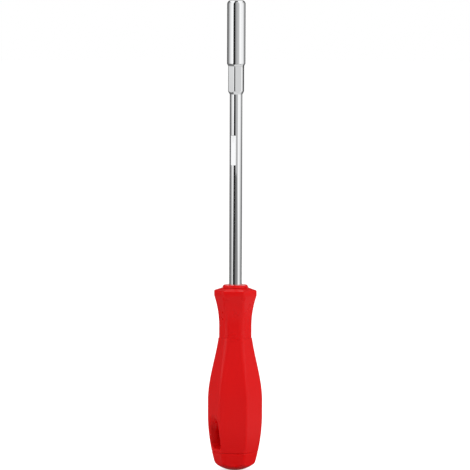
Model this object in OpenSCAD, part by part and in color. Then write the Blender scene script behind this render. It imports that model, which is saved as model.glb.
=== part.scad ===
// Nut driver: a hollow chromed socket pressed on a round shaft, whose winged tang is moulded
// into a hexagonal two-part handle with a domed end cap and a hanging hole.
// Millimetres. Z is the tool's axis, with the end of the handle's dome at Z = 0 and the socket uppermost.

/* [Lengths] */
// Handle, from the end of its dome to the top of its front boss
handle_len = 119; // [112:0.5:135]
// Blade, from the front boss to the mouth of the socket
blade_len = 181; // [150:0.5:260]

/* [Handle outline] */
// Across the corners at the belly
belly_across = 34.9; // [32:0.1:38]
// Height of the belly above the end of the dome
belly_z = 36; // [34:0.5:44]
// Straight length of the belly above that height
belly_flat = 9; // [2:0.5:12]
// Across the corners at the waist
waist_across = 20.7; // [18.5:0.1:24]
// From the top of the front boss down to the waist
waist_drop = 26.5; // [23:0.5:30]
// From the top of the front boss down to where the grip's curve would level out
level_drop = 24; // [20:0.5:28]
// Across the corners at the front flange
flange_across = 27.2; // [24:0.1:32]
// Across the corners where the dome begins
end_across = 25.8; // [24:0.1:29]
// Radius of the domed end
dome_r = 20.3; // [16:0.1:26]
// Rounding of the edges between the facets at the belly
belly_edge_r = 1.9; // [1:0.1:4]
// Rounding of those edges at the neck
waist_edge_r = 5.5; // [3:0.1:7]
// Rounding of those edges at the flange
flange_edge_r = 2.2; // [1:0.1:4]

/* [Front of the handle] */
// Diameter of the front boss at its top
boss_d = 15.2; // [13:0.1:17]
// Diameter of the front boss at its root
boss_root_d = 16.7; // [15.5:0.1:19]
// Height of the front boss
boss_h = 1.8; // [1:0.1:4]
// Height of the slope between the boss and the flange's rim
slope_h = 1.5; // [0.5:0.1:3]
// Height of the flange's upright rim
rim_h = 2.7; // [0.5:0.1:4]
// Rounding of the rim's upper edge
rim_round = 0.8; // [0.2:0.1:1.5]

/* [Grip sleeve] */
// Smooth neck, from the top of the front boss down to the grip
neck_len = 33.9; // [28:0.1:38]
// Wall of the grip
grip_wall = 2.6; // [1.6:0.1:3.4]
// How far the grip stands proud of the neck at its top
grip_proud = 0.35; // [0:0.05:0.8]
// Bevel along the edges of the grip and the end cap at their seams
seam_bevel = 0.35; // [0.1:0.05:0.8]

/* [End cap] */
// Length of the end cap, from the end of its dome to its seam
cap_len = 12; // [10:0.5:14]
// Wall of the end cap round the stub of the core
cap_wall = 3.2; // [2:0.1:4.5]
// Length of the stub that the end cap sits on
stub_len = 6; // [3:0.1:7]

/* [Hanging hole] */
// Height of the middle of the hole
hole_z = 22.5; // [21:0.5:28]
// Width of the hole near its bottom
hole_w = 12.5; // [6:0.1:13]
// Width of its round top
hole_top_w = 11; // [6:0.1:12]
// Height of the hole
hole_h = 14.5; // [11:0.1:15]
// Rounding of its lower corners
hole_edge_r = 2.4; // [1:0.1:4]
// Width of its flared mouth near the bottom
mouth_w = 15; // [12:0.1:18]
// Width of the round top of the mouth
mouth_top_w = 13; // [8:0.1:16]
// How far the mouth rises above the hole
mouth_rise = 5; // [1:0.1:8]
// How far the mouth drops below the hole
mouth_drop = 0.8; // [0:0.1:2]
// Depth of the flare, from the facets
mouth_depth = 2.2; // [1:0.1:8]

/* [Shaft] */
// Diameter of the shaft
shaft_d = 8; // [7:0.1:8.8]
// Tang, from the top of the front boss to its end inside the handle
tang_len = 76; // [64:0.5:78]
// Bevelled length at the end of the tang
tang_tip = 1.5; // [0.5:0.1:3]
// Span of each pair of wings across the tang
wing_span = 14; // [11:0.1:15]
// Thickness of the wings
wing_t = 2.6; // [1.5:0.1:4]
// Length of the wings along the tang
wing_len = 12; // [8:0.1:14]
// Slanted length at each end of a wing
wing_slant = 3; // [1:0.1:3.5]
// From the end of the tang to the middle of the first pair of wings
wing_start = 11; // [8:0.5:14]
// From the first pair of wings to the second, a quarter turn on
wing_pitch = 16; // [15:0.5:20]
// Length of the ground marking flat
mark_len = 18.5; // [8:0.5:40]
// Depth of the marking flat
mark_depth = 0.4; // [0.1:0.02:1]
// From the tail of the socket down to the marking flat
mark_drop = 26.3; // [5:0.1:60]
// Direction that the marking flat faces, in degrees about Z
mark_turn = 220; // [0:1:359]

/* [Socket] */
// Diameter of the barrel
socket_d = 11.7; // [11.2:0.1:14]
// Barrel, from the mouth down to the cone
barrel_len = 40.4; // [38:0.1:60]
// Cone between the barrel and the bolster
cone_len = 1.9; // [1:0.1:4]
// Across the flats of the hexagonal bolster
bolster_af = 9.5; // [8.8:0.1:10]
// How much its corners are turned off
bolster_trim = 0.25; // [0.05:0.01:0.3]
// Length of the bolster
bolster_len = 15.2; // [10:0.1:24]
// Radius of the cutter at the upper end of the bolster's flats
runout_r = 3; // [1:0.1:6]
// Tapered tail between the bolster and the shaft
tail_len = 2; // [1:0.1:5]
// Direction of the bolster's first flat, in degrees about Z
socket_turn = 24.2; // [0:0.1:59]
// Radius of the rounded nose
nose_r = 2.6; // [1.6:0.1:4]
// How far the nose rounds in at the mouth
nose_inset = 1.4; // [0.3:0.05:1.5]
// Across the flats of the nut that the socket turns
nut_af = 7; // [5.5:0.1:7.2]
// Depth of the hexagon for the nut
nut_depth = 13; // [6:0.1:20]
// Depth of the lead-in at the mouth of that hexagon
lead_in = 0.5; // [0.1:0.05:0.6]
// Diameter of the stud clearance bore behind the hexagon
stud_d = 5.5; // [3:0.1:5.8]
// Depth of the stud clearance bore, from the mouth
stud_depth = 36; // [25:0.5:38]
// Across the flats of the spigot that joins the shaft to the socket
spigot_af = 5.4; // [4:0.1:6]
// Length of the spigot
spigot_len = 14; // [8:0.1:18]

/* [Fits] */
// Gap all round the pressed and moulded seats
seat_gap = 0.03; // [0.02:0.01:0.1]
// Play across the flats between the nut and its hexagon
nut_play = 0.1; // [0.05:0.01:0.3]

/* [Hidden] */
$fn = 48;
hull_fn = 32;

// Cuts run past the faces that they open by this much
overrun = 1;
// How far the tip of the hanging hole's flare lies inside the hole
flare_inset = 1;
// Thickness of the slices that the hanging hole is drawn between
slice_t = 0.05;
// Least rounding of the edges on the hidden faces of the handle
least_edge_r = 0.8;
// The handle and the nut are hexagons
sides = 6;
step_turn = 360 / sides;
half_turn = step_turn / 2;
// Steps round each edge's rounding, up the grip, under the grip, up the neck, up the cap and over an arc
edge_steps = 3;
grip_steps = 22;
core_steps = 8;
neck_steps = 12;
cap_steps = 4;
arc_steps = 6;
// Angle of a drill's point from its face
drill_turn = 31;

chrome_colour = [0.80, 0.81, 0.83];
smooth_red = [0.84, 0.13, 0.13];
grained_red = [0.81, 0.11, 0.12];

// Heights
mouth_z = handle_len + blade_len;
socket_len = barrel_len + cone_len + bolster_len + tail_len;
socket_z = mouth_z - socket_len;
tang_z = handle_len - tang_len;
mark_z = socket_z - mark_drop - mark_len;
waist_z = handle_len - waist_drop;
level_z = handle_len - level_drop;
boss_root_z = handle_len - boss_h;
rim_z = boss_root_z - slope_h;
flange_z = rim_z - rim_round - rim_h;
grip_top_z = handle_len - neck_len;

// Radii
belly_r = belly_across / 2;
waist_r = waist_across / 2;
flange_r = flange_across / 2;
end_r = end_across / 2;
end_z = dome_r - sqrt(dome_r * dome_r - end_r * end_r);
shaft_r = shaft_d / 2;
socket_r = socket_d / 2;
bolster_r = bolster_af / 2 / cos(half_turn) - bolster_trim;
nut_r = (nut_af + nut_play) / 2 / cos(half_turn);

function mix(from, to, share) = from + (to - from) * share;
function ease(share) = share * share * (3 - 2 * share);
function share_of(z, low, high) = min(1, max(0, (z - low) / (high - low)));
function steps_between(low, high, count) = [for (i = [0 : count]) mix(low, high, i / count)];

// Share of the way that the grip has drawn in at a height, eased at both ends
function draw_in(z) = ease(share_of(z, belly_z + belly_flat, level_z));

// Radius of the corners where the grip's curve would level out
level_r = belly_r - (belly_r - waist_r - grip_proud) / draw_in(grip_top_z);

// Radius of the corners at a height, on the grip with the end cap and on the neck
function grip_r(z) =
    z < belly_z ? mix(belly_r, end_r, pow((belly_z - max(z, end_z)) / (belly_z - end_z), 2))
    : mix(belly_r, level_r, draw_in(z));
function neck_r(z) = mix(waist_r, flange_r, pow(share_of(z, waist_z, flange_z), 2));

// Rounding of the edges at a height
function grip_edge_r(z) = mix(belly_edge_r, waist_edge_r, draw_in(z));
function neck_edge_r(z) = mix(waist_edge_r, flange_edge_r, share_of(z, waist_z, flange_z));

// From the axis to the facets of a hexagon whose rounded corners are at a radius
function to_facets(radius, edge) = (radius - edge) * cos(half_turn) + edge;

// One station of a loft: its height, the distance of its facets, and the rounding of its edges
function station(z, radius, edge, inset) =
    [z, to_facets(radius, edge) - inset, max(edge - inset, least_edge_r)];
function grip_station(z, inset) = station(z, grip_r(z), grip_edge_r(z), inset);
function neck_station(z) = station(z, neck_r(z), neck_edge_r(z), 0);

// The points round a station
function ring(place) =
    let (reach = (place[1] - place[2]) / cos(half_turn))
    [for (corner = [0 : sides - 1], i = [0 : edge_steps])
        let (middle = half_turn + corner * step_turn,
             turn = middle - half_turn + step_turn * i / edge_steps)
        [reach * cos(middle) + place[2] * cos(turn), reach * sin(middle) + place[2] * sin(turn), place[0]]];

ring_count = sides * (edge_steps + 1);

// Triangles between ring a and ring b
function band(a, b) =
    [for (i = [0 : ring_count - 1])
        let (j = (i + 1) % ring_count)
        each [[a * ring_count + i, b * ring_count + j, a * ring_count + j],
              [a * ring_count + i, b * ring_count + i, b * ring_count + j]]];

// A solid through its stations, closed at both ends
module loft(stations) {
    last = len(stations) - 1;
    bottom = [for (i = [0 : ring_count - 1]) i];
    top = [for (i = [ring_count - 1 : -1 : 0]) last * ring_count + i];
    polyhedron(
        points = [for (place = stations) each ring(place)],
        faces = concat([bottom], [for (i = [0 : last - 1]) each band(i, i + 1)], [top]),
        convexity = 6);
}

// A tube whose stations run up the outside and back down the inside
module tube_loft(stations) {
    count = len(stations);
    polyhedron(
        points = [for (place = stations) each ring(place)],
        faces = [for (i = [0 : count - 1]) each band(i, (i + 1) % count)],
        convexity = 6);
}

// Both faces of the seat between the grip and the core, set in from the grip's outside
function seat_stations(inset) =
    [for (z = steps_between(cap_len, grip_top_z, core_steps)) grip_station(z, inset)];

function reversed(list) = [for (i = [len(list) - 1 : -1 : 0]) list[i]];

// The wings of the tang, or with a gap their pockets
module wings(gap) {
    half_w = wing_span / 2 + gap;
    half_l = wing_len / 2 + gap;
    side_l = half_l - wing_slant;
    quarter = [[half_w, side_l], [shaft_r, half_l]];
    outline = concat(
        [for (p = quarter) p],
        [for (p = reversed(quarter)) [-p[0], p[1]]],
        [for (p = quarter) [-p[0], -p[1]]],
        [for (p = reversed(quarter)) [p[0], -p[1]]]);
    for (pair = [0, 1])
        translate([0, 0, tang_z + wing_start + pair * wing_pitch])
            rotate([90, 0, 90 * pair])
                linear_extrude(height = wing_t + 2 * gap, center = true)
                    polygon(outline);
}

// From the axis to the facets of the grip at a height
function facet_reach(z) = to_facets(grip_r(z), grip_edge_r(z));

// A thin slice of the hole at a distance out from the facets, with rounded lower corners and a round top
module slice(side, out, width, top_width, low, high) {
    edge = min(hole_edge_r, width / 2);
    foot_z = low + edge;
    crown_z = high - top_width / 2;
    for (across = [edge - width / 2, width / 2 - edge])
        translate([side * (facet_reach(foot_z) + out), across, foot_z])
            rotate([0, 90, 0])
                cylinder(r = edge, h = slice_t, center = true, $fn = hull_fn);
    translate([side * (facet_reach(crown_z) + out), 0, crown_z])
        rotate([0, 90, 0])
            cylinder(d = top_width, h = slice_t, center = true, $fn = hull_fn);
}

// The hanging hole, right through the handle along X, with a flared mouth on both facets
module hanging_hole() {
    low = hole_z - hole_h / 2;
    high = hole_z + hole_h / 2;
    tip_w = hole_w - 2 * flare_inset;
    tip_top_w = hole_top_w - 2 * flare_inset;
    hull()
        for (side = [-1, 1])
            slice(side, overrun, hole_w, hole_top_w, low, high);
    for (side = [-1, 1])
        hull() {
            slice(side, -mouth_depth, tip_w, tip_top_w, low + flare_inset, high - flare_inset);
            for (out = [0, overrun])
                slice(side, out, mouth_w, mouth_top_w, low - mouth_drop, high + mouth_rise);
        }
}

// Hollow socket with its nut hexagon, stud bore and spigot seat
module socket() {
    nose_turn = acos(1 - nose_inset / nose_r);
    nose_z = socket_len - nose_r * sin(nose_turn);
    flat_top = tail_len + bolster_len - cone_len;
    flat_cut = concat(
        [[socket_d, -overrun], [0, -overrun]],
        [for (turn = steps_between(0, 90, arc_steps))
            [runout_r * (1 - cos(turn)), flat_top + runout_r * sin(turn)]],
        [[socket_d, flat_top + runout_r]]);
    profile = concat(
        [[0, 0], [shaft_r, 0], [bolster_r, tail_len], [bolster_r, tail_len + bolster_len]],
        [[socket_r, tail_len + bolster_len + cone_len]],
        [for (turn = steps_between(0, nose_turn, arc_steps))
            [socket_r - nose_r * (1 - cos(turn)), nose_z + nose_r * sin(turn)]],
        [[0, socket_len]]);
    color(chrome_colour)
        translate([0, 0, socket_z])
            rotate(socket_turn)
                difference() {
                    rotate_extrude() polygon(profile);
                    for (i = [0 : sides - 1])
                        rotate(step_turn * i)
                            translate([bolster_af / 2, 0, 0])
                                rotate([90, 0, 0])
                                    linear_extrude(height = socket_d, center = true)
                                        polygon(flat_cut);
                    translate([0, 0, socket_len - nut_depth])
                        rotate(half_turn)
                            cylinder(r = nut_r, h = nut_depth + overrun, $fn = sides);
                    translate([0, 0, socket_len - lead_in])
                        cylinder(r1 = nut_r - lead_in, r2 = nut_r + overrun, h = lead_in + overrun);
                    translate([0, 0, socket_len - stud_depth])
                        cylinder(d = stud_d, h = stud_depth);
                    translate([0, 0, socket_len - stud_depth - stud_d / 2 * tan(drill_turn)])
                        cylinder(d1 = 0, d2 = stud_d, h = stud_d / 2 * tan(drill_turn));
                    translate([0, 0, -overrun])
                        rotate(half_turn)
                            cylinder(
                                r = (spigot_af / 2 + seat_gap) / cos(half_turn),
                                h = spigot_len + seat_gap + overrun,
                                $fn = sides);
                }
}

// Round shaft with its spigot, marking flat and winged tang
module shaft() {
    color(chrome_colour)
        difference() {
            union() {
                translate([0, 0, tang_z])
                    cylinder(r1 = shaft_r - tang_tip, r2 = shaft_r, h = tang_tip);
                translate([0, 0, tang_z + tang_tip])
                    cylinder(d = shaft_d, h = socket_z - tang_z - tang_tip);
                translate([0, 0, socket_z])
                    rotate(socket_turn + half_turn)
                        cylinder(r = spigot_af / 2 / cos(half_turn), h = spigot_len, $fn = sides);
                wings(0);
            }
            rotate(mark_turn)
                translate([shaft_r - mark_depth, -shaft_r, mark_z])
                    cube([shaft_d, shaft_d, mark_len]);
        }
}

// Hard core: the stub, the tube under the grip, the smooth neck, the flange and the front boss
module handle_core() {
    stub = grip_station(cap_len, cap_wall + seat_gap);
    flange = neck_station(flange_z);
    rim = [for (turn = steps_between(0, 90, arc_steps))
        [flange_z + rim_h + rim_round * sin(turn), flange[1] - rim_round * (1 - cos(turn)), flange[2]]];
    stations = concat(
        [[cap_len - stub_len, stub[1], stub[2]], stub],
        seat_stations(grip_wall + seat_gap),
        [for (z = steps_between(grip_top_z, flange_z, neck_steps)) neck_station(z)],
        rim,
        [[boss_root_z, boss_d / 2, boss_d / 2]]);
    color(smooth_red)
        difference() {
            union() {
                loft(stations);
                translate([0, 0, rim_z])
                    cylinder(d = boss_root_d, h = slope_h);
                translate([0, 0, boss_root_z])
                    cylinder(d1 = boss_root_d, d2 = boss_d, h = boss_h);
            }
            translate([0, 0, tang_z - seat_gap])
                cylinder(r = shaft_r + seat_gap, h = tang_len + seat_gap + overrun);
            wings(seat_gap);
            hanging_hole();
        }
}

// Grained sleeve moulded over the core
module grip_sleeve() {
    top_z = grip_top_z - seat_gap;
    outside = concat(
        [grip_station(cap_len, seam_bevel)],
        [for (z = steps_between(cap_len + seam_bevel, top_z - seam_bevel, grip_steps)) grip_station(z, 0)],
        [grip_station(top_z, seam_bevel)]);
    seat = seat_stations(grip_wall);
    inside = [for (place = seat) [min(place[0], top_z), place[1], place[2]]];
    color(grained_red)
        difference() {
            tube_loft(concat(outside, reversed(inside)));
            hanging_hole();
        }
}

// Domed end cap with the recess that the stub of the core sits in
module end_cap() {
    top_z = cap_len - seat_gap;
    recess = grip_station(cap_len, cap_wall);
    foot = grip_station(end_z, 0);
    stations = concat(
        [[-overrun, foot[1], foot[2]]],
        [for (z = steps_between(end_z, top_z - seam_bevel, cap_steps)) grip_station(z, 0)],
        [grip_station(top_z, seam_bevel)],
        [[top_z, recess[1], recess[2]], [top_z - stub_len, recess[1], recess[2]]]);
    color(smooth_red)
        intersection() {
            loft(stations);
            translate([0, 0, dome_r]) {
                sphere(r = dome_r);
                cylinder(r = dome_r, h = cap_len);
            }
        }
}

socket();
shaft();
handle_core();
grip_sleeve();
end_cap();
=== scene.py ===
# %% [markdown]
# A nut driver, dressed for its picture.
# The tool is a chromed hollow socket on a chromed shaft, in a red handle of two mouldings and an end cap.
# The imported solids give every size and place. Here each piece is made again as a finer mesh in the same
# place, and gets the finish of the real one: polished chrome, smooth plastic or a grained grip.

# %% The frame
import math

import bmesh
import bpy
import numpy as np
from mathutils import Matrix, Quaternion, Vector


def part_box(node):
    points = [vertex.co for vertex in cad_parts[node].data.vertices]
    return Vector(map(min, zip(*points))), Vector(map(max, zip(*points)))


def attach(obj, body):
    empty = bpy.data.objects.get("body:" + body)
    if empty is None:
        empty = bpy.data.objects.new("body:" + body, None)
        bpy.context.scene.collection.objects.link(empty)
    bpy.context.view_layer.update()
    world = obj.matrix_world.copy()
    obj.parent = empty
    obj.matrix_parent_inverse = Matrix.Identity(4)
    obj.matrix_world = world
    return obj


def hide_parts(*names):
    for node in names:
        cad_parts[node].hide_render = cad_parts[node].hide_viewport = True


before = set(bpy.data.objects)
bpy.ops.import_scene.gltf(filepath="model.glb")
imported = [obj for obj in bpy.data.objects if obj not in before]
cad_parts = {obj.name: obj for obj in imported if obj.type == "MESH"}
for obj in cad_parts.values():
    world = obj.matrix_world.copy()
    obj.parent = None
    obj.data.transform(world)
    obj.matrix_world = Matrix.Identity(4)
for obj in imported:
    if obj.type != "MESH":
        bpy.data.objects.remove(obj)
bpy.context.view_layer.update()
print("solids:", sorted(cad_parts))

# %% [markdown]
# Sizes are written in millimetres, as on a drawing, and Blender's units are metres.
# The frame already knows where each piece begins and ends along the tool, so those heights are read from it.

# %% Heights along the tool
MM = 0.001


def heights(node):
    """The lowest and highest point of a solid along the tool, in millimetres."""
    low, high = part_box(node)
    return low.z / MM, high.z / MM


SOCKET_Z, MOUTH_Z = heights("socket")
TANG_Z, SPIGOT_Z = heights("shaft")
STUB_Z, BOSS_Z = heights("handle_core")
CAP_TOP_Z = heights("end_cap")[1]
GRIP_Z, GRIP_TOP_Z = heights("grip_sleeve")
SEAT_GAP = GRIP_Z - CAP_TOP_Z
print(f"grip from {GRIP_Z:.2f} to {GRIP_TOP_Z:.2f} mm, mouth of the socket at {MOUTH_Z:.2f} mm")

# %% [markdown]
# The picture was taken from far away with a long lens, so the edges of the shaft stay almost parallel.
# The camera stands a little to the left of the grip's front corner and a little above the tool,
# and the tool fills the square picture from edge to edge.

# %% Camera
CAMERA_AZIMUTH = -25.0
CAMERA_ELEVATION = 4.8
CAMERA_DISTANCE = 2.76
CAMERA_ROLL = 0.2
SENSOR = 36.0
# What the picture takes in at the tool, and the point in its middle
PICTURE_SIDE = 299.35 * MM
AIM_HEIGHT = 150.74 * MM
AIM_ASIDE = -0.38 * MM


def direction(azimuth, elevation):
    """The unit vector towards a place at an azimuth and elevation in degrees, 0 being in front."""
    a, e = math.radians(azimuth), math.radians(elevation)
    return Vector((math.sin(a) * math.cos(e), -math.cos(a) * math.cos(e), math.sin(e)))


back = direction(CAMERA_AZIMUTH, CAMERA_ELEVATION)
aside = Vector((0, 0, 1)).cross(back).normalized()
lens = bpy.data.cameras.new("camera")
lens.sensor_width = SENSOR
lens.lens = SENSOR * CAMERA_DISTANCE / PICTURE_SIDE
camera = bpy.data.objects.new("camera", lens)
camera.location = Vector((0, 0, AIM_HEIGHT)) + aside * AIM_ASIDE + back * CAMERA_DISTANCE
camera.rotation_mode = "QUATERNION"
camera.rotation_quaternion = Quaternion(back, math.radians(CAMERA_ROLL)) @ back.to_track_quat("Z", "Y")
bpy.context.scene.collection.objects.link(camera)
bpy.context.scene.camera = camera
bpy.context.scene.view_settings.view_transform = "Standard"
print(f"lens {lens.lens:.0f} mm, {CAMERA_DISTANCE:.2f} m away")

# %% [markdown]
# Every shader here is a few nodes, so one small function adds a node: its own settings,
# the values of its sockets, and the links that feed them. Colours are written as sRGB hex values,
# as a colour picker gives them, and a second function turns them into the linear values
# that light adds up in.

# %% Nodes and colours


def add_node(tree, kind, values=None, links=None, **settings):
    """Adds a node to a shader, with its own settings, values for its sockets and links that feed them."""
    node = tree.nodes.new(kind)
    for name, setting in settings.items():
        setattr(node, name, setting)
    for name, value in (values or {}).items():
        node.inputs[name].default_value = value
    for name, source in (links or {}).items():
        tree.links.new(source, node.inputs[name])
    return node


def linear(hex_colour):
    """A hex colour such as 'CA0304' as linear red, green, blue and full cover."""
    shares = [int(hex_colour[i:i + 2], 16) / 255 for i in (0, 2, 4)]
    return tuple(s / 12.92 if s <= 0.04045 else ((s + 0.055) / 1.055) ** 2.4 for s in shares) + (1.0,)


def new_shader(kind, name):
    """A new material or world, and its emptied node tree."""
    block = kind.new(name)
    block.use_nodes = True
    block.node_tree.nodes.clear()
    return block, block.node_tree


WHITE = linear("FFFFFF")
print("white is", WHITE)

# %% [markdown]
# The studio is a white tent. Polished metal shows only what stands round it, so the camera and the metal
# see a white world of strength 1. Matt surfaces are lit by a dimmer one and by the lamps, at a level
# where a colour renders about as it is written. The Light Path node tells these rays apart.

# %% White world
ROOM_LIGHT = 0.55


def seen_rays(tree):
    """A socket that is 1 for rays that show the surroundings: those of the camera, gloss and glass."""
    path = add_node(tree, "ShaderNodeLightPath")
    seen = path.outputs["Is Camera Ray"]
    for name in ("Is Glossy Ray", "Is Transmission Ray"):
        either = add_node(tree, "ShaderNodeMath", links={0: seen, 1: path.outputs[name]},
                          operation="MAXIMUM")
        seen = either.outputs[0]
    return seen


world, tree = new_shader(bpy.data.worlds, "white_tent")
room = add_node(tree, "ShaderNodeBackground", {"Color": WHITE, "Strength": ROOM_LIGHT})
shown = add_node(tree, "ShaderNodeBackground", {"Color": WHITE, "Strength": 1.0})
mixed = add_node(tree, "ShaderNodeMixShader",
                 links={0: seen_rays(tree), 1: room.outputs[0], 2: shown.outputs[0]})
add_node(tree, "ShaderNodeOutputWorld", links={"Surface": mixed.outputs[0]})
bpy.context.scene.world = world
print("room light", ROOM_LIGHT)

# %% [markdown]
# A white tent alone would make chrome flat and pale. As in product photography, cards hang in the tent,
# and the metal draws them as long bands. A card could be a lit board, but then it would light the red handle
# as well. So a card here glows with a shade of its own, which may change across it, and only reflections
# see it: it neither lights the tool nor hides it.

# %% Card paper
paper, tree = new_shader(bpy.data.materials, "tent_card")
card_shade = add_node(tree, "ShaderNodeAttribute", attribute_name="shade")
glow = add_node(tree, "ShaderNodeEmission", {"Color": WHITE}, {"Strength": card_shade.outputs["Fac"]})
add_node(tree, "ShaderNodeOutputMaterial", links={"Surface": glow.outputs[0]})


def set_up(name, points, faces, material):
    """A piece of the stage, which isn't part of the tool."""
    mesh = bpy.data.meshes.new(name)
    mesh.from_pydata(points, [], faces)
    mesh.materials.append(material)
    thing = bpy.data.objects.new(name, mesh)
    bpy.context.scene.collection.objects.link(thing)
    return thing


def hang(name, points, faces, shades):
    """A card that only reflections see, with a shade for each of its points."""
    card = set_up(name, points, faces, paper)
    card.data.attributes.new("shade", "FLOAT", "POINT").data.foreach_set("value", shades)
    card.visible_camera = False
    card.visible_diffuse = False
    card.visible_shadow = False
    card.visible_transmission = False
    print(f"{name}: shades from {min(shades):.2f} to {max(shades):.2f}")


# %% [markdown]
# The cards are strips of a tall drum round the tool: a black card left of the lens, a grey one round
# the lens, the dark stand below it, and cards at the sides that darken towards the back, which give
# the round pieces their dark outlines. The bands in the photograph lean a little, so a card may stand
# differently at its foot and at its top. Between two heights, and between two stops, turn and shade
# change evenly.

# %% Cards round the tool
CARD_REACH = 0.5
CARD_FOOT = -0.05
CARD_TOP = 1.6
SIDE_TOP = 0.7
# The cards lean between these heights, and the lens begins above its stand at the last
LEAN_FOOT = 0.085
LEAN_TOP = 0.24
STAND_TOP = 0.155
STOP_STEPS = 6
ROW_STEPS = 6
# A stop is a turn, in degrees to the right of the lens, and the shade of the card there
LEFT_LOW = [(-174, 0.05), (-125, 0.1), (-100, 0.19), (-74, 0.5), (-60, 0.7), (-50, 0.95)]
LEFT_HIGH = [(-174, 0.05), (-140, 0.1), (-118, 0.17), (-97, 0.46), (-80, 0.76), (-54, 1.0)]
BLACK_LOW = [(-49, 0.01), (-16, 0.01)]
BLACK_HIGH = [(-36, 0.01), (-17, 0.01)]
LENS = [(-17, 0.02), (-10, 0.2), (2, 0.4), (28, 0.54), (40, 0.68)]
STAND_LOW = [(-16, 0.05), (-6, 0.17), (24, 0.24), (38, 0.36), (48, 0.7)]
STAND_HIGH = [(-16, 0.03), (-4, 0.11), (16, 0.19), (27, 0.4), (36, 0.7)]
RIGHT_LOW = [(58, 0.8), (70, 0.8), (84, 0.62), (108, 0.25), (135, 0.12), (174, 0.05)]
RIGHT_HIGH = [(64, 0.9), (80, 0.97), (103, 0.68), (126, 0.25), (140, 0.12), (174, 0.05)]
# Each card: its stops at some heights
CARDS = {
    "left_card": {CARD_FOOT: LEFT_LOW, LEAN_FOOT: LEFT_LOW, LEAN_TOP: LEFT_HIGH, SIDE_TOP: LEFT_HIGH},
    "black_card": {CARD_FOOT: BLACK_LOW, LEAN_FOOT: BLACK_LOW, LEAN_TOP: BLACK_HIGH, CARD_TOP: BLACK_HIGH},
    "lens_card": {STAND_TOP: LENS, CARD_TOP: LENS},
    "stand_card": {CARD_FOOT: STAND_LOW, LEAN_FOOT: STAND_LOW, STAND_TOP: STAND_HIGH},
    "right_card": {CARD_FOOT: RIGHT_LOW, LEAN_FOOT: RIGHT_LOW, LEAN_TOP: RIGHT_HIGH, SIDE_TOP: RIGHT_HIGH},
}


def finer(rows, steps):
    """Rows of numbers with evenly mixed rows between them."""
    places = np.linspace(0, len(rows) - 1, (len(rows) - 1) * steps + 1)
    return np.array([np.interp(places, range(len(rows)), column) for column in np.transpose(rows)]).T


for name, rows in CARDS.items():
    grid = finer([finer(stops, STOP_STEPS).flatten() for stops in rows.values()], ROW_STEPS)
    levels = finer([[z] for z in rows], ROW_STEPS).flatten()
    points, shades = [], []
    for z, row in zip(levels, grid):
        for turn, shade in row.reshape(-1, 2):
            foot = direction(turn + CAMERA_AZIMUTH, 0) * CARD_REACH
            points.append((foot.x, foot.y, z))
            shades.append(shade)
    across = grid.shape[1] // 2
    corners = [row * across + i for row in range(len(levels) - 1) for i in range(across - 1)]
    hang(name, points, [(i, i + 1, i + 1 + across, i + across) for i in corners], shades)

# %% [markdown]
# The top of the tent is open, which gives the rounded nose of the socket its dark line. In reflections
# a sheet stands for the floor: dark in the tool's own shadow, pale at the front and the right, and dim
# elsewhere.

# %% Opening and floor sheet
# Half the opening's width, how far it reaches to the front and to the back, and its shade
OPENING = (0.27, 0.5, 0.4)
OPENING_SHADE = 0.03
# The edge of the shadow, where the sheet has come out of it, and the edge of the sheet
SHEET_REACHES = (0.07, 0.1, 0.49)
SHEET_TURNS = [(-180, 0.15), (-75, 0.15), (-50, 0.7), (100, 0.7), (130, 0.15), (180, 0.15)]
SHADOW_SHADE = 0.1
SHEET_Z = -0.001
DISC_STEP = 6

half, front, rear = OPENING
to_lens, to_right = direction(CAMERA_AZIMUTH, 0), direction(CAMERA_AZIMUTH + 90, 0)
points = [to_lens * y + to_right * x + Vector((0, 0, CARD_TOP))
          for x, y in ((-half, front), (half, front), (half, -rear), (-half, -rear))]
hang("opening", points, [range(len(points))], np.full(len(points), OPENING_SHADE))

turns = np.arange(-180, 180, DISC_STEP)
around = len(turns)
points = [direction(turn + CAMERA_AZIMUTH, 0) * reach for reach in SHEET_REACHES for turn in turns]
shades = np.tile(np.interp(turns, *np.transpose(SHEET_TURNS)), len(SHEET_REACHES))
shades[:around] = SHADOW_SHADE
faces = [range(around)]
for i in range(len(points) - around):
    j = i + 1 if (i + 1) % around else i + 1 - around
    faces.append((i, j, j + around, i + around))
hang("floor_sheet", [(p.x, p.y, SHEET_Z) for p in points], faces, shades)

# %% [markdown]
# The floor is a disc of matt white paint that runs far past the picture. It takes the tool's soft shadow,
# and a glow that lights nothing lifts the rest of it to the white of the tent, so that no horizon shows.

# %% Floor
FLOOR_REACH = 6.0
FLOOR_GLOW = 0.68

paint, tree = new_shader(bpy.data.materials, "matt_white_paint")
lift = add_node(tree, "ShaderNodeMath", {1: FLOOR_GLOW}, {0: seen_rays(tree)}, operation="MULTIPLY")
matt = add_node(tree, "ShaderNodeBsdfDiffuse", {"Color": linear("CBCBCB")})
glow = add_node(tree, "ShaderNodeEmission", {"Color": WHITE}, {"Strength": lift.outputs[0]})
both = add_node(tree, "ShaderNodeAddShader", links={0: matt.outputs[0], 1: glow.outputs[0]})
add_node(tree, "ShaderNodeOutputMaterial", links={"Surface": both.outputs[0]})
floor_rim = [direction(turn, 0) * FLOOR_REACH for turn in range(0, 360, DISC_STEP)]
floor = set_up("floor", [(p.x, p.y, 0.0) for p in floor_rim], [range(len(floor_rim))], paint)
floor.visible_glossy = False
print(f"floor {2 * FLOOR_REACH:.0f} m across")

# %% [markdown]
# Four large, soft lamps shape the matt red handle: one at each side, which keep the side facets as light
# as the front, one above for the shoulder of the flange, and one behind. The metal doesn't see them.

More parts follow.
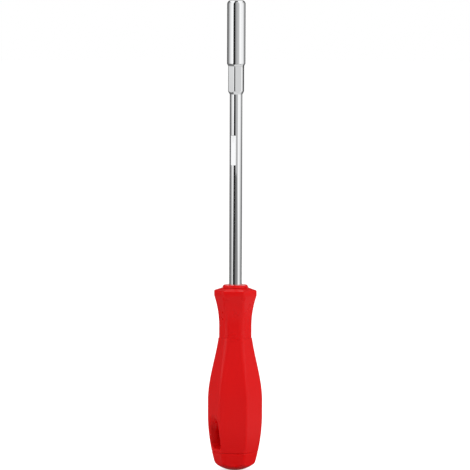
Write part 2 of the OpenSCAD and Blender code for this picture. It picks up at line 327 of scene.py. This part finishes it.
# %% Lamps
# Each lamp: degrees to the right of the lens, elevation, distance and side in metres, and power in watts
LAMPS = {
    "key_lamp": (62, 14, 1.1, 0.7, 7.7),
    "fill_lamp": (-68, 14, 1.1, 0.7, 5.8),
    "top_lamp": (0, 85, 1.5, 1.0, 6.5),
    "back_lamp": (180, 30, 1.5, 0.9, 4.0),
}

for name, (turn, elevation, distance, side, power) in LAMPS.items():
    light = bpy.data.lights.new(name, "AREA")
    light.size = side
    light.energy = power
    lamp = bpy.data.objects.new(name, light)
    towards = direction(turn + CAMERA_AZIMUTH, elevation)
    lamp.location = towards * distance + Vector((0, 0, AIM_HEIGHT))
    lamp.rotation_euler = towards.to_track_quat("Z", "Y").to_euler()
    lamp.visible_glossy = False
    bpy.context.scene.collection.objects.link(lamp)
print(len(LAMPS), "soft lamps")

# %% [markdown]
# All five pieces are long and drawn round one axis, so each is a skin over rings of points: a lathe for
# round pieces, and a loft where the outline is a hexagon. One helper makes a closed mesh over a row of
# rings. A row may run up the outside of a piece and back down its inside, which gives walls and bores
# without any cutting.

# %% A skin over rings
SHARP_TURN = 32.0


def shade_smooth(mesh):
    """Smooth shading, with creases where two faces meet at more than SHARP_TURN degrees."""
    mesh.polygons.foreach_set("use_smooth", np.ones(len(mesh.polygons), bool))
    mesh.set_sharp_from_angle(angle=math.radians(SHARP_TURN))


def skin(name, rings, tube=False):
    """An object over rings of points in millimetres, closed at both ends or, as a tube, on itself."""
    rings = np.array(rings, float)
    count, around = rings.shape[:2]
    points = [tuple(p) for p in rings.reshape(-1, 3) * MM]
    faces = []
    for low in range(count if tube else count - 1):
        high = (low + 1) % count
        for i in range(around):
            j = (i + 1) % around
            faces.append((low * around + i, low * around + j, high * around + j, high * around + i))
    if not tube:
        points += [tuple(rings[end].mean(0) * MM) for end in (0, -1)]
        bottom, top, last = len(points) - 2, len(points) - 1, (count - 1) * around
        for i in range(around):
            j = (i + 1) % around
            faces += [(bottom, j, i), (top, last + i, last + j)]
    mesh = bpy.data.meshes.new(name)
    mesh.from_pydata(points, [], faces)
    shape = bmesh.new()
    shape.from_mesh(mesh)
    bmesh.ops.recalc_face_normals(shape, faces=shape.faces)
    shape.to_mesh(mesh)
    shape.free()
    shade_smooth(mesh)
    piece = bpy.data.objects.new(name, mesh)
    bpy.context.scene.collection.objects.link(piece)
    return piece


print(f"edges that turn more than {SHARP_TURN:.0f} degrees stay sharp")

# %% [markdown]
# A piece is then written as a list of places along the tool: a radius and a height, in millimetres.
# For a lathe the radius is one number, and for a loft it is one for each turn round the axis.
# Three more helpers give the turns of a rounded edge, heights at an even spacing, and a mix of two values.

# %% Places along the tool


def round_rings(turns, places, twist=0.0):
    """Rings for radii and heights in millimetres. Either may be one number or one for each turn."""
    angles = np.radians(turns + twist)
    rings = []
    for radius, z in places:
        level = np.broadcast_to(z, angles.shape)
        rings.append(np.stack([radius * np.cos(angles), radius * np.sin(angles), level], 1))
    return rings


def arc(count, first=0.0, last=90.0):
    """Sines and cosines of evenly spaced turns, for rounded edges."""
    turns = np.radians(np.linspace(first, last, count + 1))
    return list(zip(np.sin(turns), np.cos(turns)))


def spaced(first, last, step):
    """Heights from first to last, about a step apart."""
    return np.linspace(first, last, math.ceil(abs(last - first) / step) + 1)


def mix(first, last, share):
    """What lies a share of the way from the first value to the last."""
    return first + (last - first) * share


print("a quarter turn in three steps:", [f"{sine:.2f} {cosine:.2f}" for sine, cosine in arc(3)])

# %% [markdown]
# A finished skin takes the place of its solid: it hides the solid, rides on the same body and gets
# its finish. Where a shape can't be drawn as rings, such as a hole across the handle, a second mesh
# is joined or cut away with a boolean, and the result is kept as a plain mesh.

# %% Dressing and carving
WELD_REACH = 0.001


def dress(piece, node, material):
    """Puts a finished piece in the place of its solid."""
    piece.data.materials.clear()
    piece.data.materials.append(material)
    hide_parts(node)
    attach(piece, "root")
    print(f"{piece.name}: {len(piece.data.polygons)} faces in place of {node}")


def weld(mesh):
    """Joins points that lie on each other, as a boolean leaves a few, and so drops the slivers between."""
    shape = bmesh.new()
    shape.from_mesh(mesh)
    bmesh.ops.remove_doubles(shape, verts=shape.verts, dist=WELD_REACH * MM)
    shape.to_mesh(mesh)
    shape.free()


def carve(piece, tool, operation):
    """Joins a tool to a piece or cuts it away, keeps the result as a mesh, and removes the tool."""
    change = piece.modifiers.new("carve", "BOOLEAN")
    change.operation = operation
    change.solver = "EXACT"
    change.object = tool
    carved = bpy.data.meshes.new_from_object(piece.evaluated_get(bpy.context.evaluated_depsgraph_get()))
    piece.modifiers.clear()
    weld(carved)
    carved.name = piece.name
    piece.data = carved
    bpy.data.objects.remove(tool)
    shade_smooth(piece.data)


print(f"points closer than {WELD_REACH} mm are joined after a cut")

# %% [markdown]
# Chrome plate is a thin layer of bright metal on polished steel. It shows its surroundings almost like
# a mirror. A metal keeps the shader's own IOR, its colour is its reflectance, and a faint unevenness
# of the polish, drawn along the tool, keeps the bands from looking ruled. Plating hardly reaches
# into a deep bore, so an attribute, which is 1 in the bores, makes the finish dull steel there
# and darkens it as painted shade.

# %% Chrome-plated steel
POLISH_WIDTH = 1.5
POLISH_LENGTH = 40.0
BRIGHTEST_POLISH = 0.02
DULLEST_POLISH = 0.06
BARE_ROUGHNESS = 0.4

chrome, tree = new_shader(bpy.data.materials, "chrome_plated_steel")
place = add_node(tree, "ShaderNodeTexCoord")
across, along = 1 / (POLISH_WIDTH * MM), 1 / (POLISH_LENGTH * MM)
stretch = add_node(tree, "ShaderNodeMapping", {"Scale": (across, across, along)},
                   {"Vector": place.outputs["Object"]})
marks = add_node(tree, "ShaderNodeTexNoise", {"Scale": 1.0, "Detail": 3.0}, {"Vector": stretch.outputs[0]})
gloss = add_node(tree, "ShaderNodeMapRange", {"To Min": BRIGHTEST_POLISH, "To Max": DULLEST_POLISH},
                 {"Value": marks.outputs["Fac"]})
bore_dulling_and_shade_share = add_node(tree, "ShaderNodeAttribute", attribute_name="bore_dulling_and_shade").outputs["Fac"]
dulled = add_node(tree, "ShaderNodeMath", {1: BARE_ROUGHNESS}, {0: bore_dulling_and_shade_share, 2: gloss.outputs[0]},
                  operation="MULTIPLY_ADD")
# In the bores the tone turns dark grey: painted shade, darker than the dull steel itself
tone = add_node(tree, "ShaderNodeMix", {"A": linear("F9FAFB"), "B": linear("56544F")},
                {"Factor": bore_dulling_and_shade_share}, data_type="RGBA")
metal = add_node(tree, "ShaderNodeBsdfPrincipled", {"Metallic": 1.0},
                 {"Base Color": tone.outputs["Result"], "Roughness": dulled.outputs[0]})
add_node(tree, "ShaderNodeOutputMaterial", links={"Surface": metal.outputs[0]})
print(f"{chrome.name}: roughness {BRIGHTEST_POLISH} to {DULLEST_POLISH}")

# %% [markdown]
# The socket is turned from bar: a round barrel with a rounded nose, a short cone, a bolster whose six flats
# take a spanner, and a tapered tail. Flats cut with a boolean would have hard, thin edges, so its radius
# is worked out instead, at every turn and height, as the lesser of the turned outline and a hexagon
# with rounded corners. Polishing has softened the edges between the two, so they are blended
# where they are nearly the same.

# %% Socket outline
# How far the socket is turned about its axis, in degrees
SOCKET_TURN = 24.2
SOCKET_D = 11.7
BARREL_LEN = 40.4
CONE_LEN = 1.9
BOLSTER_AF = 9.5
# The bolster is turned down to this much less than the full corners of its hexagon
BOLSTER_TRIM = 0.25
BOLSTER_EDGE_R = 0.8
BOLSTER_LEN = 15.2
# The flats reach this far up the cone and then run out, at the radius of their cutter
FLAT_RISE = 0.4
RUNOUT_R = 2.0
SHAFT_D = 8.0
EDGE_SOFTNESS = 0.12
BARREL_SOFTNESS = 0.25
# The step round the socket and the shaft, in degrees
TURN_STEP = 1.0
SIDES = 6
HALF_SIDE = 180 / SIDES

shaft_r, socket_r = SHAFT_D / 2, SOCKET_D / 2
half_side = math.radians(HALF_SIDE)
bolster_r = BOLSTER_AF / 2 / math.cos(half_side) - BOLSTER_TRIM
barrel_z = MOUTH_Z - BARREL_LEN
cone_z = barrel_z - CONE_LEN
bolster_z = cone_z - BOLSTER_LEN
flat_top_z = cone_z + FLAT_RISE
lathe_turns = np.arange(0, 360, TURN_STEP)


def from_flats(turns):
    """The angle, in radians, from each turn to the middle of the nearest of six flats, one of them at 0."""
    return np.radians((turns + HALF_SIDE) % (2 * HALF_SIDE) - HALF_SIDE)


def rounded_hexagon(from_flat, facet, edge):
    """Radius of a hexagon with rounded edges, at angles from the middle of its facets."""
    from_edge = half_side - np.abs(from_flat)
    middle = (facet - edge) / math.cos(half_side)
    tangent = np.arctan2(edge * math.sin(half_side), middle + edge * math.cos(half_side))
    left = np.sqrt(np.clip(edge ** 2 - (middle * np.sin(from_edge)) ** 2, 0, None))
    on_arc = middle * np.cos(from_edge) + left
    return np.where(from_edge < tangent, on_arc, facet / np.cos(from_flat))


def flats(z):
    """How far the flats lie from the axis at a height: level, then running out round the cutter's radius."""
    rise = np.clip((z - flat_top_z) / RUNOUT_R, 0, 1)
    # Above the run-out there is no flat, so it is put outside the bar
    return BOLSTER_AF / 2 + RUNOUT_R * (1 - np.sqrt(1 - rise ** 2)) + SOCKET_D * (rise >= 1)


def softened_least(a, b, softness=EDGE_SOFTNESS):
    """The lesser of two lengths, blended where they differ by less than a softness."""
    near = np.clip(0.5 + (b - a) / (2 * softness), 0, 1)
    return mix(b, a, near) - softness * near * (1 - near)


def turned(z):
    """Radius of the socket at a height before its flats are cut."""
    cone = bolster_r + (socket_r - bolster_r) * max(z - cone_z, 0) / CONE_LEN
    tail = shaft_r + (bolster_r - shaft_r) * (z - SOCKET_Z) / (bolster_z - SOCKET_Z)
    return softened_least(softened_least(socket_r, cone, BARREL_SOFTNESS), tail)


def socket_outside(z):
    """Radii of the socket at a height below its nose."""
    return softened_least(turned(z), rounded_hexagon(from_flats(lathe_turns), flats(z), BOLSTER_EDGE_R))


print(f"bolster {BOLSTER_AF} mm across flats, {2 * bolster_r:.2f} mm across corners")

# %% [markdown]
# The row of rings begins at the bottom of the stud bore, comes out through the hexagon for the nut,
# goes round the nose and down the outside, and ends in the seat for the shaft. So the bores are part
# of the same skin.

# %% Socket
NOSE_R = 2.6
NOSE_INSET = 1.4
NUT_AF = 7.1
NUT_DEPTH = 13.0
LEAD_IN = 0.5
LEAD_LAND = 0.05
STUD_D = 5.5
STUD_DEPTH = 36.0
STUD_POINT = 1.65
STUD_TIP_R = 0.02
SPIGOT_AF = 5.4
NOSE_STEPS = 14
COARSE_STEP = 2.0
FINE_STEP = 0.12

nut = NUT_AF / 2 / np.cos(from_flats(lathe_turns))
lead_r = nut.max() + LEAD_LAND
lead_z = MOUTH_Z - np.clip(lead_r - nut, 0, LEAD_IN)
stud_z, nut_z = MOUTH_Z - STUD_DEPTH, MOUTH_Z - NUT_DEPTH
places = [(STUD_TIP_R, stud_z - STUD_POINT), (STUD_D / 2, stud_z), (STUD_D / 2, nut_z)]
places += [(nut, nut_z), (nut, lead_z)]
places.append((lead_r, MOUTH_Z))
bore_rings = len(places)

nose_turn = math.degrees(math.acos(1 - NOSE_INSET / NOSE_R))
nose_z = MOUTH_Z - NOSE_R * math.sin(math.radians(nose_turn))
for sine, cosine in arc(NOSE_STEPS, nose_turn, 0):
    places.append((socket_r - NOSE_R * (1 - cosine), nose_z + NOSE_R * sine))
levels = [nose_z, barrel_z + CONE_LEN, cone_z - CONE_LEN, bolster_z + CONE_LEN, SOCKET_Z]
steps = [COARSE_STEP, FINE_STEP, COARSE_STEP, FINE_STEP]
for top, foot, step in zip(levels, levels[1:], steps):
    places += [(socket_outside(z), z) for z in spaced(top, foot, step)[1:]]
seat = (SPIGOT_AF / 2 + SEAT_GAP) / np.cos(from_flats(lathe_turns))
places += [(seat, SOCKET_Z), (seat, SPIGOT_Z + SEAT_GAP)]
socket = skin("chromed_socket", round_rings(lathe_turns, places, SOCKET_TURN))
# The bore's rings get the chrome's duller finish and its painted shade
in_bore = np.arange(len(socket.data.vertices)) < bore_rings * len(lathe_turns)
socket.data.attributes.new("bore_dulling_and_shade", "FLOAT", "POINT").data.foreach_set("value", in_bore.astype(float))
dress(socket, "socket", chrome)

# %% [markdown]
# The shaft is a plain bright bar, with a ground flat that is left bare here. One end is a hexagonal spigot
# that is hidden in the socket. A flat could be cut with a boolean, but the bar is a lathe anyway,
# so the flat is a row of rings whose radius is the lesser of the bar's and the flat's.

# %% Shaft
# Which way the ground flat faces, in degrees, and its place below the socket
MARK_TURN = 220.0
MARK_DEPTH = 0.4
MARK_LEN = 18.5
MARK_DROP = 26.3
# The length in which each end of the flat runs out
MARK_END = 0.25
MARK_STEPS = 4
# Away from the flat its plane is far outside the bar, so its cosine needn't fall below this
LEAST_COSINE = 0.5
TANG_TIP = 1.5

shaft_turns = lathe_turns + MARK_TURN
from_mark = np.radians((shaft_turns - MARK_TURN + 180) % 360 - 180)
ground = np.minimum(shaft_r, (shaft_r - MARK_DEPTH) / np.maximum(np.cos(from_mark), LEAST_COSINE))
mark_top = SOCKET_Z - MARK_DROP
mark_foot = mark_top - MARK_LEN
spigot = SPIGOT_AF / 2 / np.cos(from_flats(shaft_turns - SOCKET_TURN))

places = [(shaft_r - TANG_TIP, TANG_Z), (shaft_r, TANG_Z + TANG_TIP)]
places += [(shaft_r, z) for z in spaced(TANG_Z + 2 * TANG_TIP, mark_foot - MARK_END, COARSE_STEP)]
for sine, cosine in arc(MARK_STEPS):
    places.append((mix(shaft_r, ground, sine), mark_foot - MARK_END * cosine))
for sine, cosine in arc(MARK_STEPS):
    places.append((mix(shaft_r, ground, cosine), mark_top + MARK_END * sine))
places += [(shaft_r, z) for z in spaced(mark_top + 2 * MARK_END, SOCKET_Z, COARSE_STEP)]
places += [(spigot, SOCKET_Z), (spigot, SPIGOT_Z)]
shaft = skin("chromed_shaft", round_rings(shaft_turns, places))
print(f"shaft {SHAFT_D} mm thick, flat from {mark_foot:.1f} to {mark_top:.1f} mm")

# %% [markdown]
# Hidden in the handle is the shaft's tang. Its two pairs of wings, which are usually pressed out of the bar,
# keep it from turning in the plastic. Here they are flat plates joined to the bar, and the same plates,
# grown by the gap of the seat, are cut out of the core later.

# %% Wings of the tang
WING_SPAN = 14.0
WING_T = 2.6
WING_LEN = 12.0
WING_SLANT = 3.0
WING_START = 11.0
WING_PITCH = 16.0


def wing_plate(pair, gap):
    """One pair of wings as a flat plate across the tang, grown by a gap all round."""
    half_w, half_l, half_t = WING_SPAN / 2 + gap, WING_LEN / 2 + gap, WING_T / 2 + gap
    quarter = [(half_w, half_l - WING_SLANT), (shaft_r, half_l)]
    outline = quarter + [(-x, z) for x, z in quarter[::-1]]
    outline += [(-x, -z) for x, z in quarter] + [(x, -z) for x, z in quarter[::-1]]
    middle = TANG_Z + WING_START + pair * WING_PITCH
    sides = [[(x, y, middle + z) for x, z in outline] for y in (half_t, -half_t)]
    if pair == 1:
        sides = [[(-y, x, z) for x, y, z in side] for side in sides]
    return skin(f"wings_{pair}", sides)


for pair in (0, 1):
    carve(shaft, wing_plate(pair, 0), "UNION")
dress(shaft, "shaft", chrome)

# %% [markdown]
# The handle is a hexagon with rounded edges whose size changes along the tool: a belly for the palm,
# a neck for the fingers and a flange in front of them. A few sizes drive it, and the heights where one form
# passes into the next follow from them. The points of a ring are spaced closely round the edges,
# where the surface bends most.

# %% Handle sizes
BELLY_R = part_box("grip_sleeve")[1].y / MM
BELLY_Z = 36.0
BELLY_FLAT = 9.0
LEVEL_DROP = 24.0
WAIST_R = 20.7 / 2
WAIST_DROP = 26.5
FLANGE_R = 27.2 / 2
END_R = 25.8 / 2
DOME_R = 20.3
BELLY_EDGE_R = 1.9
WAIST_EDGE_R = 5.5
FLANGE_EDGE_R = 2.2
LEAST_EDGE_R = 0.8
GRIP_PROUD = 0.35
BOSS_H = 1.8
SLOPE_H = 1.5
RIM_H = 2.7
RIM_ROUND = 0.8
# Points from the middle of a facet to an edge, and the power that bunches them towards the edge
EDGE_POINTS = 14
EDGE_BUNCHING = 1.7

neck_foot_z = GRIP_TOP_Z + SEAT_GAP
waist_z = BOSS_Z - WAIST_DROP
boss_root_z = BOSS_Z - BOSS_H
rim_z = boss_root_z - SLOPE_H
flange_z = rim_z - RIM_ROUND - RIM_H
end_z = DOME_R - math.sqrt(DOME_R ** 2 - END_R ** 2)
bunched = np.linspace(-1, 1, 2 * EDGE_POINTS + 1)[:-1]
bunched = HALF_SIDE * np.sign(bunched) * np.abs(bunched) ** EDGE_BUNCHING
handle_turns = np.concatenate([HALF_SIDE + side * 2 * HALF_SIDE + bunched for side in range(SIDES)])
from_facet = from_flats(handle_turns)
print(f"{len(handle_turns)} points round the handle, belly {2 * BELLY_R:.1f} mm across its corners")

# %% [markdown]
# The same few rules as in the solids give the handle's corners at any height. Below the belly they draw in
# along a parabola. Above it they follow an eased curve to the foot of the neck, and the neck opens
# along another parabola to the flange. The roundings of the edges change in step with them.

# %% Handle outline


def share_of(z, low, high):
    """How far a height has come from low to high, between 0 and 1."""
    return np.clip((z - low) / (high - low), 0, 1)


def draw_in(z):
    """Share of the way that the grip has drawn in at a height, eased at both ends."""
    share = share_of(z, BELLY_Z + BELLY_FLAT, BOSS_Z - LEVEL_DROP)
    return share * share * (3 - 2 * share)


level_r = BELLY_R - (BELLY_R - WAIST_R - GRIP_PROUD) / draw_in(neck_foot_z)


def grip_sizes(z):
    """Distance of the facets from the axis and rounding of the edges, on the grip and the end cap."""
    below = mix(BELLY_R, END_R, share_of(BELLY_Z - z, 0, BELLY_Z - end_z) ** 2)
    corner = np.where(z < BELLY_Z, below, mix(BELLY_R, level_r, draw_in(z)))
    edge = mix(BELLY_EDGE_R, WAIST_EDGE_R, draw_in(z))
    return (corner - edge) * math.cos(half_side) + edge, edge


def neck_sizes(z):
    """The same on the neck and the flange."""
    share = share_of(z, waist_z, flange_z)
    corner, edge = mix(WAIST_R, FLANGE_R, share ** 2), mix(WAIST_EDGE_R, FLANGE_EDGE_R, share)
    return (corner - edge) * math.cos(half_side) + edge, edge


def handle_hexagon(facet, edge):
    """Radius of the handle at each of its turns."""
    return rounded_hexagon(from_facet, facet, edge)


def grip_place(z, inset=0.0, level=None):
    """One place along the grip: radii set in from its outline at z, and the height where they are put."""
    facet, edge = grip_sizes(z)
    radii = handle_hexagon(facet - inset, np.maximum(edge - inset, LEAST_EDGE_R))
    return radii, z if level is None else level


print(f"facets of the grip {grip_sizes(BELLY_Z)[0]:.2f} mm from the axis at the belly")

# %% [markdown]
# The neck, flange and boss are one hard, smooth moulding, such as polypropylene. It comes out of a polished
# mould, so it has a soft gloss and no texture. Only the gloss and the tint change a little from place
# to place, as they do where the plastic has cooled unevenly. The gloss over the red is weaker
# than the shader's own.

# %% Moulded polypropylene
COOLING_WIDTH = 6.0
GLOSSIEST_MOULDING = 0.26
DULLEST_MOULDING = 0.3

smooth_red, tree = new_shader(bpy.data.materials, "moulded_red_polypropylene")
place = add_node(tree, "ShaderNodeTexCoord")
cooling = add_node(tree, "ShaderNodeTexNoise", {"Scale": 1 / (COOLING_WIDTH * MM), "Detail": 1.0},
                   {"Vector": place.outputs["Object"]})
gloss = add_node(tree, "ShaderNodeMapRange", {"To Min": GLOSSIEST_MOULDING, "To Max": DULLEST_MOULDING},
                 {"Value": cooling.outputs["Fac"]})
tint = add_node(tree, "ShaderNodeMix", {"A": linear("D00304"), "B": linear("D20405")},
                {"Factor": cooling.outputs["Fac"]}, data_type="RGBA")
plastic = add_node(tree, "ShaderNodeBsdfPrincipled", {"IOR": 1.49, "Specular IOR Level": 0.22},
                   {"Base Color": tint.outputs["Result"], "Roughness": gloss.outputs[0]})
add_node(tree, "ShaderNodeOutputMaterial", links={"Surface": plastic.outputs[0]})
print(f"{smooth_red.name}: roughness {GLOSSIEST_MOULDING} to {DULLEST_MOULDING}")

# %% [markdown]
# The core's rings start with the stub under the end cap, go up under the grip, step out to the neck,
# and follow the flange, the sloped shoulder and the boss. They turn in at the shaft and come back
# down its seat. The foot of the boss is undercut a little, which gives it the dark line
# that the real moulding has there.

# %% Handle core
GRIP_WALL = 2.6
CAP_WALL = 3.2
BOSS_D = 15.2
BOSS_ROOT_D = 16.7
BOSS_EDGE = 0.3
UNDERCUT = 0.5
# Where the rounding of the rim passes into the slope of the shoulder, in degrees
RIM_TURN = 62
ROUND_STEPS = 6
SHOULDER_STEPS = 10
NECK_STEP = 0.5

stub = handle_hexagon(grip_sizes(GRIP_Z)[0] - CAP_WALL - SEAT_GAP, LEAST_EDGE_R)
places = [(stub, STUB_Z), (stub, GRIP_Z)]
places += [grip_place(z, GRIP_WALL + SEAT_GAP) for z in spaced(GRIP_Z, neck_foot_z, COARSE_STEP)]
places += [(handle_hexagon(*neck_sizes(z)), z) for z in spaced(neck_foot_z, flange_z, NECK_STEP)]
flange, flange_edge = neck_sizes(flange_z)
for sine, cosine in arc(ROUND_STEPS, 0, RIM_TURN):
    rim = handle_hexagon(flange - RIM_ROUND * (1 - cosine), flange_edge)
    places.append((rim, flange_z + RIM_H + RIM_ROUND * sine))
rim, shoulder_z = places[-1]
boss_r, root_r = BOSS_D / 2, BOSS_ROOT_D / 2
for share in np.linspace(0, 1, SHOULDER_STEPS)[1:]:
    places.append((mix(rim, root_r, share), mix(shoulder_z, boss_root_z, share)))
places += [(root_r - UNDERCUT, boss_root_z), (root_r - UNDERCUT, boss_root_z + UNDERCUT)]
places.append((root_r, boss_root_z + UNDERCUT))
for sine, cosine in arc(ROUND_STEPS):
    places.append((boss_r - BOSS_EDGE * (1 - cosine), BOSS_Z - BOSS_EDGE * (1 - sine)))
places += [(shaft_r + SEAT_GAP, BOSS_Z), (shaft_r + SEAT_GAP, TANG_Z - SEAT_GAP)]
core = skin("handle_neck_and_core", round_rings(handle_turns, places))
for pair in (0, 1):
    carve(core, wing_plate(pair, SEAT_GAP), "DIFFERENCE")
print(f"neck from {neck_foot_z:.1f} to {flange_z:.1f} mm")

# %% [markdown]
# The hanging hole goes right through the lower part of the handle. Its mouths widen and have rounded lips,
# and at the top the facet runs into them in a long scoop, so that a hook finds its way in. The tool
# that cuts it is a loft along the hole: each slice follows the facet's own curve at a set depth,
# and is as wide as the mouth is there.

# %% Hanging hole
HOLE_Z = 22.5
HOLE_W = 12.5
HOLE_TOP_W = 11.0
HOLE_H = 14.5
HOLE_EDGE_R = 2.4
LIP_R = 1.6
SCOOP_RISE = 8.0
SCOOP_DEPTH = 5.0
# Each mouth widens outwards, as a moulded hole does so that its pin comes out, in degrees
DRAFT_TURN = 14
# The rounding of the lips stops before it is level, in degrees, and its last slope runs on outside the facet
LIP_TURN = 75
LIP_OUT = 0.4
LIP_STEPS = 8
SCOOP_STEPS = 6
OUTLINE_POINTS = 96


def hole_outline(lip, rise):
    """Points across and up of the hole's outline, grown by its lip all round and by a rise at its top."""
    edge_r, top_r = HOLE_EDGE_R + lip, HOLE_TOP_W / 2 + lip
    side = HOLE_W / 2 - HOLE_EDGE_R
    low, high = HOLE_Z - HOLE_H / 2 + HOLE_EDGE_R, HOLE_Z + HOLE_H / 2 + rise
    rounds = [(side, low, edge_r), (-side, low, edge_r), (0, high - top_r, top_r)]
    points = []
    for turn in np.linspace(0, 2 * math.pi, OUTLINE_POINTS, endpoint=False):
        y, z = math.cos(turn), math.sin(turn)
        middle_y, middle_z, radius = max(rounds, key=lambda r: r[0] * y + r[1] * z + r[2])
        points.append((middle_y + radius * y, middle_z + radius * z))
    return points


def hole_cutter():
    """The hanging hole as a solid to cut away, with rounded lips and a scoop at both ends."""
    draft = math.radians(DRAFT_TURN)
    lip_depth = LIP_R * (1 - math.sin(draft))
    lip_start = (SCOOP_DEPTH - lip_depth) * math.tan(draft)
    slices = [mix(np.array((SCOOP_DEPTH, 0)), np.array((lip_depth, lip_start)), share)
              for share in np.linspace(0, 1, SCOOP_STEPS)[:-1]]
    for sine, cosine in arc(LIP_STEPS, DRAFT_TURN, LIP_TURN):
        slices.append((LIP_R * (1 - sine), lip_start + LIP_R * (math.cos(draft) - cosine)))
    slices = [(depth, lip, SCOOP_RISE * (1 - math.sqrt(depth / SCOOP_DEPTH))) for depth, lip in slices]
    last, before = np.array(slices[-1]), np.array(slices[-2])
    slices.append(last + (last - before) * (last[0] + LIP_OUT) / (before[0] - last[0]))
    sides = []
    for depth, lip, rise in slices:
        sides.append([(grip_sizes(z)[0] - depth, y, z) for y, z in hole_outline(lip, rise)])
    sides.append([(BELLY_R + LIP_OUT, y, z) for _, y, z in sides[-1]])
    mirrored = [[(-x, y, z) for x, y, z in side] for side in reversed(sides)]
    return skin("hole_cutter", mirrored + sides)


carve(core, hole_cutter(), "DIFFERENCE")
dress(core, "handle_core", smooth_red)

# %% [markdown]
# The grip is a softer plastic moulded over the core. Its mould was grained by spark erosion, which leaves
# a fine, even, matt grain, a few tenths of a millimetre across. From a step away that grain only softens
# the light, so it is drawn about twice as coarse as it is, or it would vanish between the picture's points.

# %% Grained elastomer
GRAIN_WIDTH = 0.9
GRAIN_DEPTH = 0.03

grained_red, tree = new_shader(bpy.data.materials, "spark_grained_red_elastomer")
place = add_node(tree, "ShaderNodeTexCoord")
grain = add_node(tree, "ShaderNodeTexNoise", {"Scale": 1 / (GRAIN_WIDTH * MM), "Detail": 3.0},
                 {"Vector": place.outputs["Object"]})
relief = add_node(tree, "ShaderNodeBump", {"Strength": 1.0, "Distance": GRAIN_DEPTH * MM},
                  {"Height": grain.outputs["Fac"]})
tint = add_node(tree, "ShaderNodeMix", {"A": linear("CA0304"), "B": linear("D20506")},
                {"Factor": grain.outputs["Fac"]}, data_type="RGBA")
rubber = add_node(tree, "ShaderNodeBsdfPrincipled",
                  {"IOR": 1.48, "Specular IOR Level": 0.2, "Roughness": 0.38},
                  {"Base Color": tint.outputs["Result"], "Normal": relief.outputs[0]})
add_node(tree, "ShaderNodeOutputMaterial", links={"Surface": rubber.outputs[0]})
print(f"{grained_red.name}: grain {GRAIN_WIDTH} mm wide, {GRAIN_DEPTH} mm deep")

# %% [markdown]
# The grip is a tube: its rings go up the outside and back down the inside. Its top edge rolls over
# in a soft lip above the neck, and its foot is rounded at the seam with the end cap.

# %% Grip sleeve
SEAM_ROUND = 0.45
LIP_H = 1.2
LIP_IN = 0.4
GRIP_STEP = 0.6

lip_z = GRIP_TOP_Z - LIP_H
foot_z = GRIP_Z + SEAM_ROUND
places = []
for sine, cosine in arc(ROUND_STEPS):
    places.append(grip_place(foot_z, SEAM_ROUND * (1 - sine), foot_z - SEAM_ROUND * cosine))
places += [grip_place(z) for z in spaced(foot_z, lip_z, GRIP_STEP)[1:-1]]
for sine, cosine in arc(ROUND_STEPS):
    places.append(grip_place(lip_z, LIP_IN * (1 - cosine), lip_z + LIP_H * sine))
places += [grip_place(z, GRIP_WALL) for z in spaced(GRIP_TOP_Z, GRIP_Z, COARSE_STEP)]
grip = skin("grained_grip", round_rings(handle_turns, places), tube=True)
carve(grip, hole_cutter(), "DIFFERENCE")
dress(grip, "grip_sleeve", grained_red)

# %% [markdown]
# The end cap closes the handle with a dome. The facets run into the dome along six arcs. For each turn
# round the cap, the height where facet and dome meet is found by halving, and the rings follow that line,
# so the edge is clean and can be rounded, as a moulded edge is.

# %% End cap
STUB_LEN = 6.0
EDGE_ROUND = 1.0
DOME_STEPS = 24
DOME_START = 0.02
CAP_STEPS = 12
HALVINGS = 24

# The search starts between a height where the dome is still narrow and the top of the cap
low, high = np.full(len(handle_turns), end_z / 4), np.full(len(handle_turns), CAP_TOP_Z)
for _ in range(HALVINGS):
    middle = (low + high) / 2
    in_dome = grip_place(middle)[0] < np.sqrt(DOME_R ** 2 - (DOME_R - middle) ** 2)
    low, high = np.where(in_dome, low, middle), np.where(in_dome, middle, high)
meet_turn = np.arccos(1 - low / DOME_R)


def on_dome(turn):
    """Radius and height of the dome, at a turn from its lowest point."""
    return np.array((DOME_R * np.sin(turn), DOME_R * (1 - np.cos(turn))))


dome_edge = meet_turn - EDGE_ROUND / DOME_R
facet_foot = low + EDGE_ROUND
places = [tuple(on_dome(dome_edge * share)) for share in np.linspace(DOME_START, 1, DOME_STEPS)]
start, corner, finish = on_dome(dome_edge), on_dome(meet_turn), np.array(grip_place(facet_foot))
for share in np.linspace(0, 1, ROUND_STEPS + 1)[1:]:
    places.append(tuple(start * (1 - share) ** 2 + 2 * corner * share * (1 - share) + finish * share ** 2))
top_z = CAP_TOP_Z - SEAM_ROUND
places += [grip_place(mix(facet_foot, top_z, share)) for share in np.linspace(0, 1, CAP_STEPS)[1:]]
for sine, cosine in arc(ROUND_STEPS)[1:]:
    places.append(grip_place(top_z, SEAM_ROUND * (1 - cosine), top_z + SEAM_ROUND * sine))
recess = handle_hexagon(grip_sizes(GRIP_Z)[0] - CAP_WALL, LEAST_EDGE_R)
places += [(recess, CAP_TOP_Z), (recess, CAP_TOP_Z - STUB_LEN)]
cap = skin("domed_end_cap", round_rings(handle_turns, places))
dress(cap, "end_cap", smooth_red)
